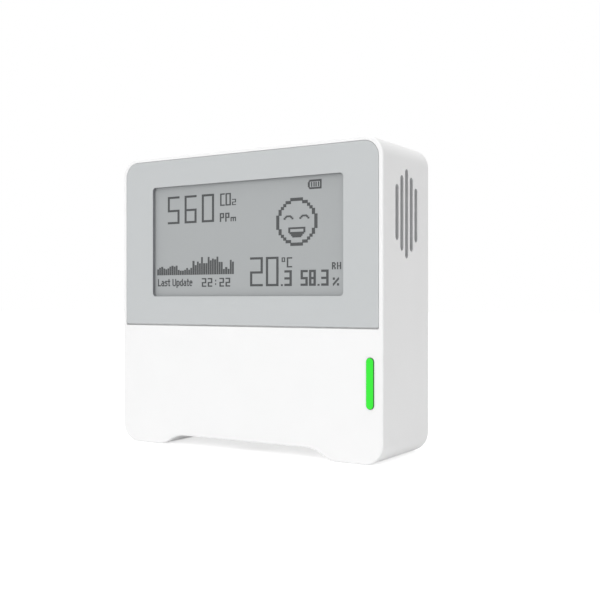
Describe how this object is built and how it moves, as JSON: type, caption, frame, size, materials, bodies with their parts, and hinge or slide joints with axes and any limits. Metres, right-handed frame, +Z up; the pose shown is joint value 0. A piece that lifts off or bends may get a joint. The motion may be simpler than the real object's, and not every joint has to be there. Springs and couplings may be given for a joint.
{
  "type": "carbon dioxide monitor",
  "caption": "Small table-top carbon dioxide monitor: white case on an arched foot, grey panel with an e-paper display, green light bar and side air slots.",
  "frame": {"origin": "middle of the footprint, on the surface that the case stands on", "axes": "+Z up, the display faces -Y, +X to the right of someone who reads it"},
  "size_m": [0.0676, 0.022, 0.0653],
  "materials": {
    "white_plastic": "fine moulded texture",
    "grey_panel": "satin moulded",
    "black_tape": "adhesive foam tape",
    "epaper": "matte electronic paper with dark grey ink",
    "display_glass": "thin display glass",
    "foam": "soft foam",
    "amber_film": "amber ribbon film",
    "dark_plastic": "moulded",
    "green_lens": "green lit lens",
    "lamp_body": "moulded lamp",
    "circuit_board": "green solder mask",
    "chip_resin": "moulded resin",
    "tinned_steel": "tinned",
    "plunger_plastic": "moulded",
    "gold_case": "gold plated",
    "filter_felt": "white felt",
    "gold_pins": "gold plated",
    "mesh_cloth": "fine woven mesh",
    "tray_plastic": "moulded",
    "cell_sleeve": "shrink sleeve",
    "spring_steel": "nickel plated",
    "screw_steel": "zinc plated"
  },
  "bodies": {
    "case": {"battery_contacts": "spring_steel", "battery_lower": "cell_sleeve", "battery_springs": "spring_steel", "battery_tray": "tray_plastic", "battery_upper": "cell_sleeve", "board_chips": "chip_resin", "board_screws": "screw_steel", "climate_board": "circuit_board", "climate_chip": "chip_resin", "co2_sensor_board": "circuit_board", "co2_sensor_chamber": "gold_case", "co2_sensor_filter": "filter_felt", "co2_sensor_pins": "gold_pins", "cover_screws": "screw_steel", "display_panel": "grey_panel", "epaper_cushion": "foam", "epaper_film": "epaper", "epaper_flex": "amber_film", "epaper_glass": "display_glass", "flex_connector": "dark_plastic", "front_housing": "white_plastic", "indicator_leds": "lamp_body", "light_pipe": "green_lens", "main_board": "circuit_board", "microcontroller": "chip_resin", "panel_tape": "black_tape", "power_switch_body": "dark_plastic", "radio_antenna": "plunger_plastic", "radio_module": "circuit_board", "radio_shield": "tinned_steel", "rear_cover": "white_plastic", "refresh_switch_body": "dark_plastic", "tray_screws": "screw_steel", "usb_socket": "tinned_steel", "usb_tongue": "dark_plastic", "vent_mesh": "mesh_cloth"},
    "battery_door": {"battery_door": "white_plastic"},
    "power_button": {"power_button": "white_plastic"},
    "power_plunger": {"power_switch_plunger": "plunger_plastic"},
    "refresh_button": {"refresh_button": "white_plastic"},
    "refresh_plunger": {"refresh_switch_plunger": "plunger_plastic"}
  },
  "joints": [
    {"name": "battery_door_hinge", "type": "hinge", "parent": "case", "child": "battery_door", "pos_m": [0, 0.01002, 0.04], "axis": [1, 0, 0], "range_deg": [0, 90]},
    {"name": "power_press", "type": "slide", "parent": "case", "child": "power_button", "axis": [0, 0, 1], "range_m": [0, 0.00035], "stiffness_N_per_m": 30},
    {"name": "power_plunger_slide", "type": "slide", "parent": "case", "child": "power_plunger", "axis": [0, 0, 1], "range_m": [0, 0.00035], "stiffness_N_per_m": 30},
    {"name": "refresh_press", "type": "slide", "parent": "case", "child": "refresh_button", "axis": [0, 0, 1], "range_m": [0, 0.00035], "stiffness_N_per_m": 30},
    {"name": "refresh_plunger_slide", "type": "slide", "parent": "case", "child": "refresh_plunger", "axis": [0, 0, 1], "range_m": [0, 0.00035], "stiffness_N_per_m": 30}
  ],
  "couplings": [
    {"joint": "power_plunger_slide", "follows": "power_press", "ratio": 1},
    {"joint": "refresh_plunger_slide", "follows": "refresh_press", "ratio": 1}
  ]
}
